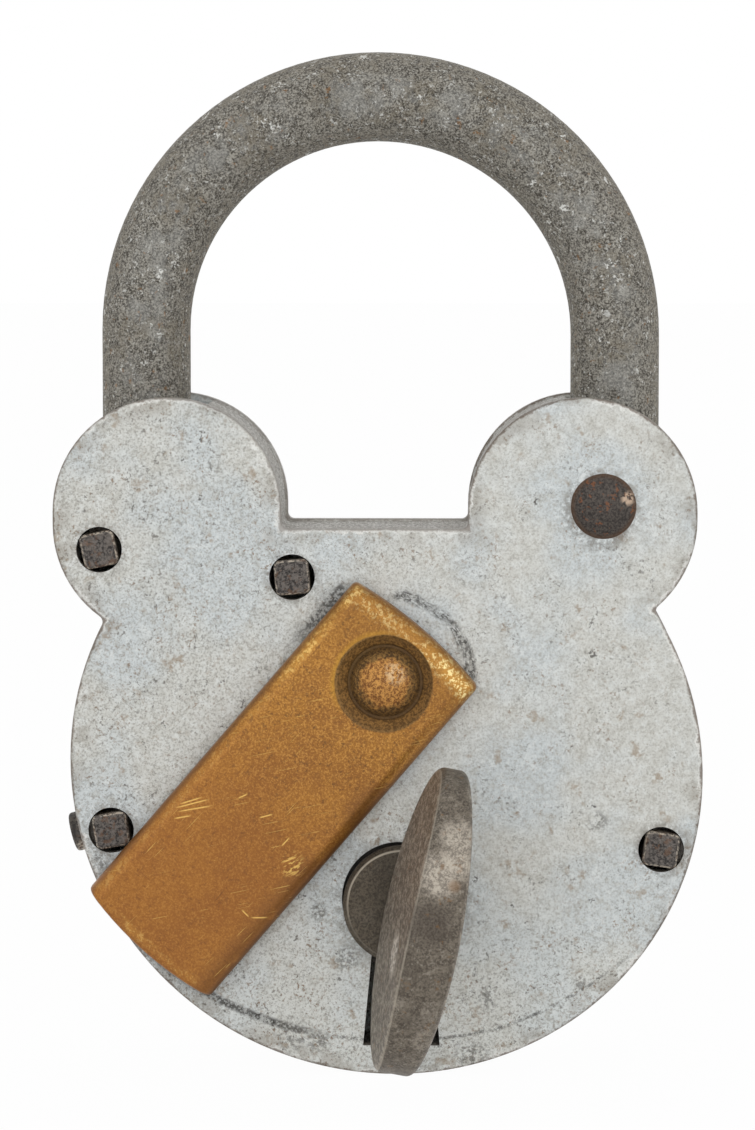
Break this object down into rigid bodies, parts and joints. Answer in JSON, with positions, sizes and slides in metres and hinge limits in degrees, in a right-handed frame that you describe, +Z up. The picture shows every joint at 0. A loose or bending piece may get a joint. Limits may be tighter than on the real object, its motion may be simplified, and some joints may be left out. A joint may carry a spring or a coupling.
{
  "type": "riveted lever padlock",
  "caption": "Old riveted sheet-steel lever padlock with a round two-eared case, a hinged round-bar shackle, a swinging brass keyhole cover and a steel key in the lock.",
  "frame": {"origin": "centre of the shackle bow's arc on its toe side, halfway through the depth of the case", "axes": "+Z up from the case towards the shackle's crown, +X to the right seen from the keyhole side, -Y out of the keyhole face, so +Y is the way through the shackle from front to back"},
  "size_m": [0.0768, 0.049, 0.1212],
  "materials": {
    "plate": "dull zinc-coated sheet, speckled",
    "rim": "dull grey sheet",
    "shackle": "pitted dark grey forged bar",
    "rivet": "brown-black hammered iron",
    "drop": "worn ochre brass",
    "drop_rivet": "worn brass",
    "key": "warm grey worn iron",
    "curtain": "dark iron",
    "inner_steel": "plain steel",
    "lever": "stamped sheet brass",
    "spring": "blued spring steel"
  },
  "bodies": {
    "case": {"front_plate": "plate", "back_plate": "plate", "rim_band": "rim", "neck_band": "rim", "ear_rivet": "rivet", "neck_rivet": "rivet", "lower_left_rivet": "rivet", "lower_right_rivet": "rivet", "rim_rivet": "rivet", "pivot_rivet": "rivet", "heel_collars": "inner_steel", "drop_rivet": "drop_rivet", "drop_washer": "drop_rivet", "drill_pin": "inner_steel", "bolt_bed": "inner_steel", "lever_post": "inner_steel", "lever_spring_1": "spring", "lever_spring_2": "spring", "lever_spring_3": "spring", "lever_spring_4": "spring"},
    "shackle": {"shackle": "shackle"},
    "drop": {"drop": "drop"},
    "curtain": {"curtain": "curtain"},
    "key": {"key": "key"},
    "bolt": {"bolt": "inner_steel"},
    "lever_1": {"lever_1": "lever"},
    "lever_2": {"lever_2": "lever"},
    "lever_3": {"lever_3": "lever"},
    "lever_4": {"lever_4": "lever"}
  },
  "joints": [
    {"name": "shackle_open", "type": "hinge", "parent": "case", "child": "shackle", "pos_m": [0.02675, 0, -0.0205], "axis": [0, 1, 0], "range_deg": [0, 80]},
    {"name": "drop_swing", "type": "hinge", "parent": "case", "child": "drop", "pos_m": [0.00114, 0, -0.04101], "axis": [0, 1, 0], "range_deg": [-6, 160]},
    {"name": "key_turn", "type": "hinge", "parent": "case", "child": "curtain", "pos_m": [0.00316, 0, -0.06766], "axis": [0, 1, 0], "range_deg": [-195, 0]},
    {"name": "key_withdraw", "type": "slide", "parent": "curtain", "child": "key", "axis": [0, -1, 0], "range_m": [0, 0.034]},
    {"name": "bolt_throw", "type": "slide", "parent": "case", "child": "bolt", "axis": [-1, 0, 0], "range_m": [0, 0.0036]},
    {"name": "lever_lift_1", "type": "hinge", "parent": "case", "child": "lever_1", "pos_m": [0.02699, 0, -0.04506], "axis": [0, 1, 0], "range_deg": [0, 2.8], "deforming": ["lever_spring_1"]},
    {"name": "lever_lift_2", "type": "hinge", "parent": "case", "child": "lever_2", "pos_m": [0.02699, 0, -0.04506], "axis": [0, 1, 0], "range_deg": [0, 2.8], "deforming": ["lever_spring_2"]},
    {"name": "lever_lift_3", "type": "hinge", "parent": "case", "child": "lever_3", "pos_m": [0.02699, 0, -0.04506], "axis": [0, 1, 0], "range_deg": [0, 2.8], "deforming": ["lever_spring_3"]},
    {"name": "lever_lift_4", "type": "hinge", "parent": "case", "child": "lever_4", "pos_m": [0.02699, 0, -0.04506], "axis": [0, 1, 0], "range_deg": [0, 2.8], "deforming": ["lever_spring_4"]}
  ],
  "couplings": [
    {"joint": "bolt_throw", "follows": "key_turn", "m_per_rad": -0.0010578},
    {"joint": "lever_lift_1", "follows": "key_turn", "ratio": -0.014359},
    {"joint": "lever_lift_2", "follows": "key_turn", "ratio": -0.014359},
    {"joint": "lever_lift_3", "follows": "key_turn", "ratio": -0.014359},
    {"joint": "lever_lift_4", "follows": "key_turn", "ratio": -0.014359}
  ]
}
